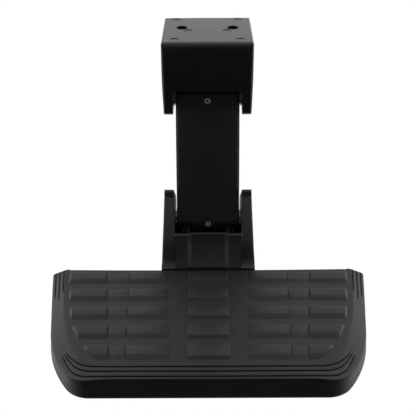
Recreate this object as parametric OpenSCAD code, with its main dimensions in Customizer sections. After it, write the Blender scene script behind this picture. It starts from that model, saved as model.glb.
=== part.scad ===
// Retractable bed step, swung out and ready to use.
// A cast housing bolts up under the rear of a pickup. A wide main arm and a hidden idler arm
// swing from it as a parallelogram, so the cast bracket and the treaded pad stay level.
// X runs across the vehicle, Y runs forward under it and Z is up. The origin is the middle
// of the two bolt holes, on the flat top face of the housing.

/* [Mount housing] */
// Width over the side walls at the top face
housing_w = 104; // [98:1:112]
// Length from the front face to the back face
housing_l = 92; // [84:1:100]
// Distance from the front face back to the line of the bolt holes
bolt_setback = 54.6; // [48:0.2:58]
// Distance between the two bolt holes
bolt_spacing = 60; // [52:1:64]
// Diameter of the bolt holes
bolt_hole_d = 13; // [10.5:0.5:14]
// Thickness of the top plate
top_t = 11; // [8:0.5:14]
// Thickness of the front wall
front_wall_t = 6.5; // [5:0.5:8]
// Depth of the front wall below the top face
front_drop = 57; // [48:1:62]
// Depth of the back wall below the top face
back_drop = 34; // [28:1:40]
// Thickness of the back wall
back_wall_t = 7; // [5:0.5:8]
// Outward lean of each side wall, widest at the height of the pivots
side_swell = 0.9; // [0:0.1:2]
// Radius of the rounded top edge at the front
top_front_r = 7; // [2:0.5:9]
// Radius of the upright corners
corner_r = 4.5; // [2:0.5:5]
// Diameter of the shallow round dimples in the top face
dimple_d = 11.5; // [8:0.5:13]
// Depth of the dimples
dimple_depth = 0.7; // [0.5:0.1:2]

/* [Linkage] */
// Depth of the upper main pivot below the top face
main_pivot_drop = 73; // [70:0.5:78]
// Distance between the two pivots of an arm
arm_reach = 149.7; // [140:0.1:156]
// Lean of the arms from upright with the step out, in degrees
arm_lean = 22.8; // [20:0.2:25]
// Swing of the arms from out to stowed, in degrees
swing = 90; // [80:1:90]
// Distance between the main pivot and the rear pivot in each casting
pivot_pair = 34; // [33.5:0.1:36]

/* [Main arm] */
// Width of the main arm
arm_w = 76; // [68:1:80]
// Radius of the round ends of the main arm
barrel_r = 14; // [13:0.5:14.5]
// Radius of the gentle bow of the front face
bow_r = 930; // [700:10:1400]
// Thickness of the front plate of the arm
plate_t = 6.5; // [5:0.5:8]
// Thickness of the two side flanges of the arm
flange_t = 6.5; // [4:0.5:8]
// Depth of the side flanges, from the front face
flange_depth = 22; // [18:0.5:22.5]
// Radius of the long front edges
edge_r = 3; // [1:0.2:3]
// Gap between the round upper end and the front wall of the housing
barrel_gap = 3.1; // [2:0.1:5]
// Thickness of the stiffening ribs of the arm
rib_t = 4; // [3:0.5:6]

/* [Idler arm] */
// Width of the beam of the idler arm
idler_w = 48; // [42:1:50]
// Radius of the round ends of the idler arm
idler_barrel_r = 9.5; // [9:0.1:10]
// Thickness of the web of the idler arm
web_t = 6; // [4:0.5:7]
// Thickness of the side flanges of the idler arm
idler_flange_t = 5; // [3.5:0.5:6]

/* [Pins, bushes and washers] */
// Diameter of the main pivot pins
main_pin_d = 12; // [11:0.5:13]
// Diameter of the rear pivot pins
rear_pin_d = 10; // [9:0.5:10.5]
// Wall of the plain bushes
bush_wall = 1.5; // [1.2:0.1:1.8]
// Thickness of the flange on each bush
bush_flange_t = 1.2; // [1:0.1:1.5]
// Outer diameter of the bush flanges and washers at the main pins
main_washer_d = 24; // [21:0.5:25]
// Outer diameter of the snap rings on the rear pins
ring_d = 16; // [14:0.5:17]
// Thickness of the snap rings
ring_t = 1.2; // [1:0.1:1.6]
// Outer diameter of the tubes that space the idler arm inside the housing
spacer_d = 15; // [13:0.5:17]
// Thickness of the thrust washers
washer_t = 1.2; // [1:0.1:1.5]
// Axial gap on each side of a thrust washer
side_gap = 0.3; // [0.2:0.05:0.5]
// Radial running gap between a pin and its bush
run_gap = 0.05; // [0.03:0.01:0.08]
// Radial gap round the pin at the last pivot of the closed linkage
open_gap = 0.15; // [0.12:0.01:0.2]
// Radial seating gap of a piece pressed or screwed into its hole
seat_gap = 0.02; // [0.01:0.01:0.05]
// Distance that a pin end stands back from the outer face of its ear
pin_inset = 2; // [1:0.5:4]
// Diameter of the set screws that lock the main pins
set_screw_d = 8; // [6:0.5:9]
// Socket of the set screws across its flats
set_screw_hex = 4; // [3:0.5:5]

/* [Stop and spring] */
// Diameter of the rubber stop between the arms
stop_d = 18; // [14:1:20]
// Height of the rubber stop
stop_h = 12; // [9:0.5:14]
// Wire diameter of the torsion spring
wire_d = 2.5; // [2:0.1:2.6]
// Radial gap between the spring coils and the upper rear pin
coil_gap = 0.7; // [0.5:0.1:0.9]
// Number of coils
coils = 7; // [5:1:7]
// Length of the spring leg that lies on the idler arm
spring_leg = 22; // [12:1:24]

/* [Step bracket] */
// Height of the ear tips above the lower main pivot
ear_rise = 46; // [38:0.5:46]
// Distance that the ear tips stand in front of the lower main pivot
ear_front = 6.3; // [3:0.1:10]
// Thickness of an ear at its tip
ear_t = 11.25; // [9:0.25:12]
// Outward flare of each ear from its tip to its foot
ear_flare = 6.8; // [5:0.2:8]
// Slope of the top edge of the ears, in degrees
ear_top_slope = 40; // [38:0.5:42]
// Forward slope of the front edge of the ears, in degrees
ear_front_slope = 19.7; // [18:0.1:21]
// Thickness of the leaning front web
front_web_t = 6.8; // [5:0.2:7]
// Depth of the top edge of the web below the lower main pivot
web_drop = 7.6; // [7.5:0.1:12]
// Depth of the recess in the middle of the web
web_recess = 2.6; // [1:0.2:3.4]
// Half width of the recess in the web
recess_half_w = 21; // [16:1:26]
// Thickness of the floor and of the tongue under the pad
tongue_t = 8; // [6:0.5:9]
// Width of the tongue
tongue_w = 96; // [84:1:100]

/* [Step pad] */
// Distance from the lower main pivot down to the top of the pad
pad_drop = 48.5; // [46:0.5:56]
// Length of the pad from its rear edge to its front edge
pad_l = 174; // [166:0.5:178]
// Width of the top face along its rear edge
pad_top_w = 357; // [340:1:366]
// Width over the outer edges of the sloping side bands, at the rear
pad_side_w = 386.4; // [378:0.4:390]
// Depth of the outer edges of the side bands below the top face
side_drop = 6.5; // [4:0.5:9]
// Width of the lower edge at the rear, before its corners are cut
pad_bottom_w = 392; // [391:1:398]
// Inward slope of the sides towards the front, in degrees
side_slope = 9.6; // [8:0.2:11]
// Height of the pad
pad_h = 32.5; // [26:0.5:34]
// Gap between the rear edge of the pad and the feet of the bracket
rear_gap = 0.4; // [0.3:0.1:1]
// Wall of the pad
pad_wall = 5; // [4:0.5:6]
// Thickness of the top deck under the tread
deck_t = 5; // [4:0.5:6]
// Radius of the front corners of the top face
pad_corner_r = 32; // [26:1:36]
// Long radius that leads from the lower side into the front corner
pad_sweep_r = 140; // [120:5:160]

/* [Tread] */
// Number of tread rows
rows = 5; // [3:1:6]
// Distance from one tread row to the next
row_pitch = 30.5; // [28:0.1:32]
// Distance from the rear edge to the first row
first_row = 6.9; // [2:0.1:8]
// Height of the tread blocks above the deck
block_h = 2.5; // [1.5:0.1:3.5]
// Length of the flat top of a block
block_l = 12.6; // [10:0.2:15]
// Length of the ramp in front of a block
ramp_l = 7.2; // [5:0.2:9.6]
// Half width of the middle block
mid_block_half = 23.2; // [18:0.2:26]
// Start of the inner blocks, measured from the middle
inner_start = 51.5; // [42:0.5:56]
// Width of the inner blocks
inner_w = 45; // [36:0.5:46]
// Width of the low blocks between the inner and the outer blocks
low_w = 27.5; // [24:0.5:30]
// Amount by which the low blocks stand below the others
low_step = 0.9; // [0.4:0.1:1.4]
// Distance between the crease of the top face and the outer blocks
block_margin = 8; // [6:0.5:12]
// Width of each groove along the front lip
groove_w = 2.2; // [1.4:0.2:3]
// Depth of the grooves along the front lip
groove_depth = 2; // [1:0.2:3]
// Distance from the front face back to the crease groove
crease_back = 15.4; // [12:0.2:18]

/* [Pad bolts] */
// Diameter of the pad bolts
pad_bolt_d = 8; // [6:1:10]
// Distance between the pad bolts across the tongue
pad_bolt_x = 60; // [50:1:70]
// Distance between the front and the rear pad bolts
pad_bolt_y = 75; // [66:1:80]
// Distance from the rear edge of the pad to the rear pad bolts
pad_bolt_back = 30; // [24:1:36]
// Outer diameter of the bosses under the pad
boss_d = 20; // [18:0.5:24]

/* [Hidden] */

// Smoothness of true round faces
round_fn = 64;
// Amount by which a cut runs past the face it opens
over = 1;
cast_grey = [0.13, 0.13, 0.14];
steel_grey = [0.62, 0.63, 0.65];

// The mount housing: front and back faces, and the gap between its ears
front_y = -bolt_setback;
back_y = front_y + housing_l;
side_room = bush_flange_t + washer_t + 2 * side_gap;
ear_gap = arm_w + 2 * side_room;
swell_z = -0.63 * main_pivot_drop;
ear_tip = 16;
ear_drop = main_pivot_drop + ear_tip;
ear_back = 17;
rear_boss_r = 13;

// Pivots as [y, z]: A and C carry the main arm, B and D the idler arm
pair_slope = swing / 2 - arm_lean;
A = [front_y + front_wall_t + barrel_gap + barrel_r, -main_pivot_drop];
C = A - arm_reach * [sin(arm_lean), cos(arm_lean)];
B = A + pivot_pair * [cos(pair_slope), sin(pair_slope)];
D = C + pivot_pair * [cos(pair_slope), sin(pair_slope)];
// Distance between the centre lines of the two arms at both ends of the swing
arm_apart = pivot_pair * cos(swing / 2);

// The bowed front face of the main arm is an arc about a point far behind it
bow_half = asin(arm_reach / 2 / (bow_r - barrel_r));
face_dir = 180 - arm_lean;
bow_centre = (A + C) / 2 - (bow_r - barrel_r) * cos(bow_half) * [cos(face_dir), sin(face_dir)];
face_out_mid = bow_r - (bow_r - barrel_r) * cos(bow_half);

// Spring coils, and the front face of the idler web just clear of the spring leg
coil_r = rear_pin_d / 2 + coil_gap + wire_d / 2;
coil_span = (coils + 0.5) * (wire_d + 0.4);
idler_web_front = coil_r - wire_d / 2 - side_gap;
idler_half_depth = idler_barrel_r - 1.5;
fork_in = coil_span / 2 + 1.2;
fork_depth = coil_r + wire_d / 2 + 3;
lug_y = B[0] - coil_r + wire_d / 2 + 0.3;
lug_z = B[1] + coil_r + 6;

// Rubber stop between the arms, its screw and the boss that carries it
stop_s = arm_reach / 2;
stop_top_n = idler_web_front + side_gap - arm_apart;
stop_seat_n = stop_top_n + stop_h;
stop_screw_d = 5;
stop_screw_l = 9;
stop_head_d = 9;
stop_head_h = 5;

// Step bracket: tip of the ears, levels of its floor and line of its leaning front
pad_top_z = C[1] - pad_drop;
floor_z = pad_top_z - 13;
tongue_z = floor_z - tongue_t;
tip = C + [-ear_front, ear_rise];
foot_y = tip[0] - (tip[1] - pad_top_z) * tan(ear_front_slope);
function front_at(z) = foot_y + (z - pad_top_z) * tan(ear_front_slope);
web_top_z = C[1] - web_drop;
ear_tip_half = ear_gap / 2 + ear_t;
ear_foot_half = ear_tip_half + ear_flare;
lug_r = 10.5;
lug_t = 9;
lug_in = idler_w / 2 + side_gap;
bracket_back = D[0] + lug_r;

// Step pad edges
pad_back = foot_y - rear_gap;
pad_front = pad_back - pad_l;
pad_bottom_z = pad_top_z - pad_h;
deck_z = pad_top_z - block_h;
bolt_rows = [pad_back - pad_bolt_back, pad_back - pad_bolt_back - pad_bolt_y];
insert_d = pad_bolt_d + 5;
insert_l = 8;
bolt_head_h = 0.65 * pad_bolt_d;
pad_washer_t = 1.6;

function unit(v) = v / norm(v);

// Points of an arc about c, from angle a0 to angle a1
function arc(c, r, a0, a1, n = 8) =
    [for (i = [0:n]) let (a = a0 + (a1 - a0) * i / n) c + r * [cos(a), sin(a)]];

// The corner b between a and c, rounded with radius r
function soft(a, b, c, r) =
    let (
        u = unit(a - b), v = unit(c - b), half = acos(u * v) / 2,
        o = b + unit(u + v) * r / sin(half),
        p = b + u * r / tan(half) - o, q = b + v * r / tan(half) - o,
        a0 = atan2(p[1], p[0]), turn = atan2(q[1], q[0]) - a0
    )
    arc(o, r, a0, a0 + (turn > 180 ? turn - 360 : turn < -180 ? turn + 360 : turn));

// A closed outline whose corners [y, z, r] are rounded where r is not zero
function rounded(pts) =
    let (n = len(pts), flat = [for (p = pts) [p[0], p[1]]])
    [for (i = [0:n - 1])
        each pts[i][2] == 0 ? [flat[i]]
            : soft(flat[(i + n - 1) % n], flat[i], flat[(i + 1) % n], pts[i][2])];

// A side-view outline, y and z, made w wide across the middle
module across(w) {
    translate([-w / 2, 0, 0])
        rotate([90, 0, 90])
            linear_extrude(w)
                children();
}

// A front-view outline, x and z, made from y0 to y1
module along(y0, y1) {
    translate([0, y1, 0])
        rotate([90, 0, 0])
            linear_extrude(y1 - y0)
                children();
}

// Children and their mirror twins on the other side
module both_sides() {
    for (side = [0, 1])
        mirror([side, 0, 0])
            children();
}

// A round bar across the part, centred, about the pivot p
module bar(p, r, w) {
    translate([-w / 2, p[0], p[1]])
        rotate([0, 90, 0])
            cylinder(r = r, h = w, $fn = round_fn);
}

// A round bar on a pivot, from x0 to x1 on one side
module stub(p, r, x0, x1) {
    translate([x0, p[0], p[1]])
        rotate([0, 90, 0])
            cylinder(r = r, h = x1 - x0, $fn = round_fn);
}

// A ring on a pivot, from x0 to x1, and its twin on the other side
module ring_pair(p, r_in, r_out, x0, x1) {
    both_sides()
        difference() {
            stub(p, r_out, x0, x1);
            stub(p, r_in, x0 - over, x1 + over);
        }
}

// A pin centred across the part, with chamfered ends
module pivot_pin(p, d, len) {
    r = d / 2;
    h = len / 2;
    translate([0, p[0], p[1]])
        rotate([0, 90, 0])
            rotate_extrude($fn = round_fn)
                polygon([[0, -h], [r - 1, -h], [r, 1 - h], [r, h - 1], [r - 1, h], [0, h]]);
}

// A rectangle with rounded corners, drawn from true circles
module round_rect(x0, y0, x1, y1, r) {
    translate([x0 + r, y0])
        square([x1 - x0 - 2 * r, y1 - y0]);
    translate([x0, y0 + r])
        square([x1 - x0, y1 - y0 - 2 * r]);
    for (x = [x0 + r, x1 - r])
        for (y = [y0 + r, y1 - r])
            translate([x, y])
                circle(r = r, $fn = round_fn);
}

// Mount housing: side view with square ears in front and a boss round the rear pivot
module housing_side() {
    polygon(rounded([
        [front_y, 0, top_front_r], [front_y, -ear_drop, 7], [A[0] + ear_back, -ear_drop, 8],
        [back_y, -back_drop, 3], [back_y, 0, 2]
    ]));
    translate(B)
        circle(r = rear_boss_r, $fn = round_fn);
}

// Mount housing: front view, with sides that swell slightly and rounded ear tips
module housing_front() {
    half = housing_w / 2;
    wide = half + side_swell;
    polygon(rounded([
        [-half, 0, 2.5], [-wide, swell_z, 0], [-half, -ear_drop, 4],
        [half, -ear_drop, 4], [wide, swell_z, 0], [half, 0, 2.5]
    ]));
}

// Places of the shallow dimples in the top face
dimple_spots = [
    [-37, front_y + 13], [37, front_y + 13], [-37, back_y - 9.5], [37, back_y - 9.5],
    [-0.375 * bolt_spacing, -12], [0.375 * bolt_spacing, -12]
];

// The open inside of the housing, rounded where the walls meet the top plate
module housing_hollow() {
    half = ear_gap / 2;
    along(front_y + front_wall_t, back_y - back_wall_t)
        round_rect(-half, -ear_drop - 20, half, -top_t, 5);
    along(front_y - over, A[0])
        round_rect(-half, -ear_drop - 20, half, -front_drop, 6);
    along(A[0], back_y + over)
        round_rect(-half, -ear_drop - 20, half, -back_drop, 6);
}

// Bosses round the bolt holes, two long ribs and the lug that one spring leg bears on
rib_drop = 8;
module housing_inside_ribs() {
    for (side = [-1, 1]) {
        translate([side * bolt_spacing / 2, 0, -top_t - 5])
            cylinder(d = bolt_hole_d + 12, h = 5 + over, $fn = round_fn);
        translate([side * 14 - rib_t / 2, front_y + 2, -top_t - rib_drop])
            cube([rib_t, housing_l - 4, rib_drop + over]);
    }
    translate([-coil_span / 2 - 3, lug_y, lug_z])
        cube([8, 11, -lug_z - top_t + over]);
}

// The solid block that the housing is hollowed from
module housing_block() {
    intersection() {
        across(housing_w + 10)
            housing_side();
        along(front_y - over, back_y + over)
            housing_front();
        translate([0, 0, -ear_drop - over])
            linear_extrude(ear_drop + 2 * over)
                round_rect(-housing_w / 2 - side_swell, front_y,
                    housing_w / 2 + side_swell, back_y, corner_r);
    }
}

module mount_housing() color(cast_grey) difference() {
    union() {
        difference() {
            housing_block();
            housing_hollow();
        }
        housing_inside_ribs();
    }
    for (side = [-1, 1])
        translate([side * bolt_spacing / 2, 0, -top_t - 20])
            cylinder(d = bolt_hole_d, h = top_t + 20 + over, $fn = round_fn);
    for (spot = dimple_spots)
        translate([spot[0], spot[1], -dimple_depth])
            cylinder(d = dimple_d, h = dimple_depth + over, $fn = round_fn);
    bar(A, main_pin_d / 2 + bush_wall + seat_gap, housing_w + 10);
    bar(B, rear_pin_d / 2 + seat_gap, housing_w + 10);
    both_sides()
        stub(B, ring_d / 2 + 1, upper_ring_x, housing_w);
}

// Flanged bushes pressed into the ears of both castings
bush_len = 10.5;
module flanged_bushes(p) {
    ring_pair(p, main_pin_d / 2 + run_gap, main_pin_d / 2 + bush_wall,
        ear_gap / 2 - bush_flange_t / 2, ear_gap / 2 + bush_len);
    ring_pair(p, main_pin_d / 2 + run_gap, main_washer_d / 2,
        ear_gap / 2 - bush_flange_t, ear_gap / 2 - seat_gap);
}

// Washers between the flat sides of the main arm and the bush flanges
module thrust_washers(p) {
    x0 = arm_w / 2 + side_gap;
    ring_pair(p, main_pin_d / 2 + 0.25, main_washer_d / 2, x0, x0 + washer_t);
}

// Snap rings outside the walls that a rear pin passes through
module snap_rings(p, x0) {
    ring_pair(p, rear_pin_d / 2 + seat_gap, ring_d / 2, x0 + 0.1, x0 + 0.1 + ring_t);
}

upper_ring_x = housing_w / 2 - 2.7;
upper_pin_len = housing_w - 2 * pin_inset;
lower_pin_len = 2 * (ear_tip_half + ear_flare * ear_rise / (tip[1] - tongue_z) - pin_inset);
rear_pin_len = 2 * (lug_in + lug_t + ring_t + 2);

module upper_front_bushes() color("peru")
    flanged_bushes(A);

module lower_front_bushes() color("peru")
    flanged_bushes(C);

module upper_front_washers() color("silver")
    thrust_washers(A);

module lower_front_washers() color("silver")
    thrust_washers(C);

module upper_front_pin() color(steel_grey)
    pivot_pin(A, main_pin_d, upper_pin_len);

module lower_front_pin() color(steel_grey)
    pivot_pin(C, main_pin_d, lower_pin_len);

module upper_rear_pin() color(steel_grey)
    pivot_pin(B, rear_pin_d, housing_w - 0.6);

module lower_rear_pin() color(steel_grey)
    pivot_pin(D, rear_pin_d, rear_pin_len);

module upper_rear_rings() color(steel_grey)
    snap_rings(B, upper_ring_x);

module lower_rear_rings() color(steel_grey)
    snap_rings(D, lug_in + lug_t);

module upper_rear_spacers() color("silver")
    ring_pair(B, rear_pin_d / 2 + 0.15, spacer_d / 2, idler_w / 2 + side_gap,
        ear_gap / 2 - 0.1);

// Main arm: section of a plate with two flanges and rounded front edges
module arm_section() {
    half = arm_w / 2;
    difference() {
        union() {
            translate([bow_r - flange_depth, -half])
                square([flange_depth - edge_r, arm_w]);
            translate([bow_r - edge_r, edge_r - half])
                square([edge_r, arm_w - 2 * edge_r]);
            for (side = [-1, 1])
                translate([bow_r - edge_r, side * (half - edge_r)])
                    circle(r = edge_r, $fn = round_fn);
        }
        translate([bow_r - flange_depth - over, flange_t - half])
            square([flange_depth - plate_t + over, arm_w - 2 * flange_t]);
    }
}

// The section swept along the bow, just past both pivots
module arm_beam() {
    sweep = 2 * bow_half + 0.16;
    translate([0, bow_centre[0], bow_centre[1]])
        rotate([90, 0, 90])
            rotate([0, 0, face_dir - sweep / 2])
                rotate_extrude(angle = sweep, $fn = 720)
                    arm_section();
}

// A round end of the main arm, tucked a hair under the face, its edges rounded like it
module arm_barrel(p) {
    r = barrel_r - 0.05;
    h = (arm_w - 0.02) / 2;
    q = h - edge_r;
    translate([0, p[0], p[1]])
        rotate([0, 90, 0])
            rotate_extrude($fn = 2 * round_fn)
                polygon(concat(
                    [[0, h], [0, -h]],
                    arc([r - edge_r, -q], edge_r, -90, 0, 6),
                    arc([r - edge_r, q], edge_r, 0, 90, 6)
                ));
}

// An arm's own frame at its upper pivot: x across, y down along the arm, z out of its front
module on_arm(p) {
    translate([0, p[0], p[1]])
        rotate([90 - arm_lean, 0, 0])
            mirror([0, 1, 0])
                children();
}

// Threaded hole of a set screw, level, from the front face into the bore of the pin
module screw_hole(p) {
    translate([0, p[0], p[1]])
        rotate([90, 0, 0])
            cylinder(d = set_screw_d + 2 * seat_gap, h = barrel_r + 8, $fn = round_fn);
}

module main_arm() color(cast_grey) difference() {
    union() {
        arm_beam();
        arm_barrel(A);
        arm_barrel(C);
        on_arm(A) {
            translate([0, stop_s, stop_seat_n])
                cylinder(d = stop_d + 4, h = face_out_mid - plate_t / 2 - stop_seat_n,
                    $fn = round_fn);
            for (s = [0.27, 0.73])
                translate([flange_t / 2 - arm_w / 2, s * arm_reach - rib_t / 2, -2])
                    cube([arm_w - flange_t, rib_t, barrel_r + 1]);
            translate([-rib_t / 2, barrel_r / 2, -2])
                cube([rib_t, arm_reach - barrel_r, barrel_r + 1]);
        }
    }
    bar(A, main_pin_d / 2 + seat_gap, arm_w + over);
    bar(C, main_pin_d / 2 + seat_gap, arm_w + over);
    for (p = [A, C])
        screw_hole(p);
    on_arm(A)
        translate([0, stop_s, stop_seat_n - over])
            cylinder(d = stop_screw_d + 2 * seat_gap, h = stop_screw_l + 2 * over,
                $fn = round_fn);
}

// A cup-point set screw that bears on the pin, its hexagon socket in front
module set_screw(p, len) color(steel_grey)
    translate([0, p[0] - main_pin_d / 2, p[1]])
        rotate([90, 0, 0])
            difference() {
                union() {
                    cylinder(d1 = set_screw_d - 2, d2 = set_screw_d, h = 1, $fn = round_fn);
                    translate([0, 0, 1])
                        cylinder(d = set_screw_d, h = len - 1.4, $fn = round_fn);
                    translate([0, 0, len - 0.4])
                        cylinder(d1 = set_screw_d, d2 = set_screw_d - 0.8, h = 0.4,
                            $fn = round_fn);
                }
                translate([0, 0, len - set_screw_hex])
                    cylinder(d = set_screw_hex / cos(30), h = set_screw_hex + over, $fn = 6);
            }

// The upper screw leaves the sloping face further out than the lower one
module upper_set_screw()
    set_screw(A, (barrel_r + 0.4) / cos(arm_lean) - main_pin_d / 2 - 0.3);

module lower_set_screw()
    set_screw(C, barrel_r - main_pin_d / 2 - 0.1);

// Rubber stop on the main arm: it meets the idler arm at both ends of the swing
module stop_bumper() color([0.08, 0.08, 0.08])
    on_arm(A)
        difference() {
            union() {
                translate([0, stop_s, stop_top_n + 2])
                    cylinder(d = stop_d, h = stop_h - 2, $fn = round_fn);
                translate([0, stop_s, stop_top_n])
                    cylinder(d1 = stop_d - 4, d2 = stop_d, h = 2, $fn = round_fn);
            }
            translate([0, stop_s, stop_top_n - over])
                cylinder(d = stop_head_d + 1, h = stop_head_h + 3 + over, $fn = round_fn);
            translate([0, stop_s, stop_top_n])
                cylinder(d = stop_screw_d + 2 * seat_gap, h = stop_h + over, $fn = round_fn);
        }

module stop_screw() color(steel_grey)
    on_arm(A)
        difference() {
            translate([0, stop_s, stop_top_n + 3]) {
                cylinder(d = stop_head_d, h = stop_head_h, $fn = round_fn);
                cylinder(d = stop_screw_d, h = stop_h - 3 + stop_screw_l, $fn = round_fn);
            }
            translate([0, stop_s, stop_top_n + 3 - over])
                cylinder(d = 4 / cos(30), h = 3 + over, $fn = 6);
        }

// Idler arm: an H beam with a forked upper end and a full lower barrel
module idler_arm() color(cast_grey) difference() {
    union() {
        bar(D, idler_barrel_r, idler_w);
        both_sides()
            stub(B, idler_barrel_r, fork_in, idler_w / 2);
        on_arm(B) {
            for (side = [-1, 1])
                translate([side * (idler_w - idler_flange_t) / 2 - idler_flange_t / 2, 0,
                    -idler_half_depth])
                    cube([idler_flange_t, arm_reach, 2 * idler_half_depth]);
            translate([1 - idler_w / 2, fork_depth, idler_web_front - web_t])
                cube([idler_w - 2, arm_reach - fork_depth, web_t]);
            for (s = [0.3, 0.55, 0.8])
                translate([1 - idler_w / 2, s * arm_reach, -idler_half_depth])
                    cube([idler_w - 2, rib_t, idler_half_depth + idler_web_front - 1]);
        }
    }
    bar(B, rear_pin_d / 2 + bush_wall + seat_gap, idler_w + over);
    bar(D, rear_pin_d / 2 + bush_wall + seat_gap, idler_w + over);
}

module idler_upper_bushes() color("peru")
    ring_pair(B, rear_pin_d / 2 + run_gap, rear_pin_d / 2 + bush_wall, fork_in, idler_w / 2);

module idler_lower_bushes() color("peru")
    ring_pair(D, rear_pin_d / 2 + open_gap, rear_pin_d / 2 + bush_wall, 6, idler_w / 2);

// Torsion spring round the upper rear pin: one leg up the housing lug, one down the idler web
spring_sides = 8;
lug_leg = 34;
sweep_end = 360 * coils + face_dir;
function helix_point(a) =
    [((a - 180) / (sweep_end - 180) - 0.5) * (coil_span - wire_d),
        B[0] + coil_r * cos(a), B[1] + coil_r * sin(a)];
helix_rings = 15 * coils;
spring_path = concat(
    [helix_point(180) + [0, 0, lug_leg]],
    [for (i = [0:helix_rings]) helix_point(180 + (sweep_end - 180) * i / helix_rings)],
    [helix_point(sweep_end) - spring_leg * [0, sin(arm_lean), cos(arm_lean)]]
);
function path_dir(i) =
    unit(spring_path[min(i + 1, len(spring_path) - 1)] - spring_path[max(i - 1, 0)]);
function ring_point(i, k) =
    let (t = path_dir(i), u = unit(cross(t, [1, 0, 0])), w = cross(t, u),
        a = 360 * k / spring_sides)
    spring_path[i] + wire_d / 2 * (cos(a) * u + sin(a) * w);

module torsion_spring() color("dimgray") {
    n = len(spring_path);
    m = spring_sides;
    polyhedron(
        points = [for (i = [0:n - 1]) for (k = [0:m - 1]) ring_point(i, k)],
        faces = concat(
            [[for (k = [m - 1:-1:0]) k]],
            [for (i = [0:n - 2]) for (k = [0:m - 1])
                [i * m + k, i * m + (k + 1) % m, (i + 1) * m + (k + 1) % m, (i + 1) * m + k]],
            [[for (k = [0:m - 1]) (n - 1) * m + k]]
        ),
        convexity = 10
    );
}

// Step bracket: side view of an ear, from its tip down the leaning front to the foot
module ear_side() {
    run = bracket_back - tip[0];
    polygon(rounded([
        [tip[0], tip[1], 3], [bracket_back, tip[1] - run * tan(ear_top_slope), 8],
        [bracket_back - 4, tongue_z, 4], [foot_y, tongue_z, 0], [foot_y, pad_top_z, 0],
        [foot_y + 6.5, pad_top_z + 2, 14]
    ]));
}

// Front view of an ear: it flares towards its foot, and its tip is rounded
ear_tip_r = 4;
module ear_face() {
    polygon(rounded([
        [ear_gap / 2, tongue_z, 0], [ear_foot_half, tongue_z, 0],
        [ear_tip_half, tip[1], ear_tip_r], [ear_gap / 2, tip[1], ear_tip_r]
    ]));
}

// A slice of the front web from x0 to x1, its front set back and its top edges rounded
lip_front_share = 0.36;
lip_back_share = 0.5;
module web_slice(x0, x1, back) {
    t = front_web_t - back;
    y = front_at(web_top_z);
    foot = foot_y + 0.4 + back / 2;
    translate([x0, 0, 0])
        rotate([90, 0, 90])
            linear_extrude(x1 - x0)
                polygon(rounded([
                    [y + back, web_top_z, lip_front_share * t],
                    [y + front_web_t, web_top_z, lip_back_share * t],
                    [front_at(floor_z) + front_web_t, floor_z - 1, 0], [foot, floor_z - 1, 0],
                    [foot, pad_top_z, 0]
                ]));
}

// The front web: set back in the middle, with a slope on each side of the recess
recess_slope = 5;
module front_web() {
    slope_end = recess_half_w + recess_slope;
    web_slice(-recess_half_w, recess_half_w, web_recess);
    both_sides() {
        hull() {
            web_slice(recess_half_w - 0.02, recess_half_w, web_recess);
            web_slice(slope_end, slope_end + 0.02, 0);
        }
        web_slice(slope_end, (ear_gap + over) / 2, 0);
    }
}

// Side view of the lugs that carry the lower rear pin
module lug_side() {
    translate(D)
        circle(r = lug_r, $fn = round_fn);
    polygon(rounded([
        [foot_y + 7, floor_z - 1, 0], [front_at(C[1] - 26) + 4, C[1] - 26, 0],
        [C[0] + 9, C[1] - 20, 6], [D[0] - lug_r, D[1] - 3, 0], [D[0], D[1] + 3, 0],
        [D[0] + lug_r, D[1], 0], [bracket_back - 5, floor_z - 1, 0]
    ]));
}

// The wall that ties the ears together behind, with a rounded top edge
rear_wall_t = 6;
module rear_wall_side() {
    y1 = bracket_back - 5;
    polygon(rounded([
        [y1 - rear_wall_t, C[1] - 24, 2.5], [y1, C[1] - 24, 2.5], [y1, floor_z - 1, 0],
        [y1 - rear_wall_t, floor_z - 1, 0]
    ]));
}

// The tongue that runs forward under the pad, with a rounded nose
tongue_nose = bolt_rows[1] - 20;
module tongue() {
    translate([0, 0, tongue_z])
        linear_extrude(tongue_t) {
            round_rect(-tongue_w / 2, tongue_nose, tongue_w / 2, pad_back + 20, 10);
            translate([-tongue_w / 2, pad_back - 30])
                square([tongue_w, 50]);
        }
}

module step_bracket() color(cast_grey) difference() {
    union() {
        intersection() {
            across(2 * ear_foot_half)
                ear_side();
            union() {
                both_sides()
                    along(pad_front, back_y)
                        ear_face();
                translate([-(ear_gap + over) / 2, pad_front, tongue_z])
                    cube([ear_gap + over, back_y - pad_front, floor_z - tongue_z]);
            }
        }
        front_web();
        both_sides()
            translate([lug_in + lug_t / 2, 0, 0])
                across(lug_t)
                    lug_side();
        across(ear_gap + over)
            rear_wall_side();
        tongue();
    }
    bar(C, main_pin_d / 2 + bush_wall + seat_gap, 2 * ear_foot_half);
    bar(D, rear_pin_d / 2 + seat_gap, ear_gap);
    for (side = [-1, 1])
        for (y = bolt_rows)
            translate([side * pad_bolt_x / 2, y, tongue_z - over])
                cylinder(d = pad_bolt_d + 0.6, h = tongue_t + 2 * over, $fn = round_fn);
}

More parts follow.
